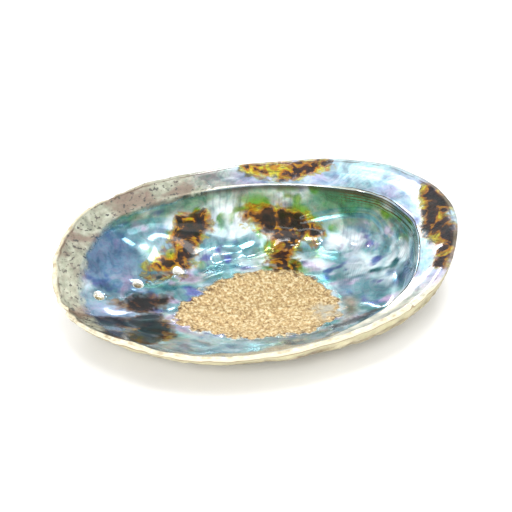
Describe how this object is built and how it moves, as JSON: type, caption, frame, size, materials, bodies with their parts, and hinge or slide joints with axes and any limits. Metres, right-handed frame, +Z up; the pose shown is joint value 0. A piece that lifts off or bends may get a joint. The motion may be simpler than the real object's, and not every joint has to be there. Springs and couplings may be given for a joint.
{
  "type": "abalone shell",
  "caption": "Ear-shaped abalone shell lying bowl up, with a broad pearly ledge round the spire side and open breathing holes by the far wall.",
  "frame": {"origin": "middle of the shell's length and width, at the worn flat on its back that it rests on", "axes": "+Z up out of the bowl, +X along the length towards the spire end, +Y towards the ledge side with the breathing holes"},
  "size_m": [0.1526, 0.1036, 0.035],
  "materials": {
    "shell": "polished mother of pearl inside, rough cream and green back"
  },
  "bodies": {
    "root": {"shell": "shell"}
  },
  "joints": []
}
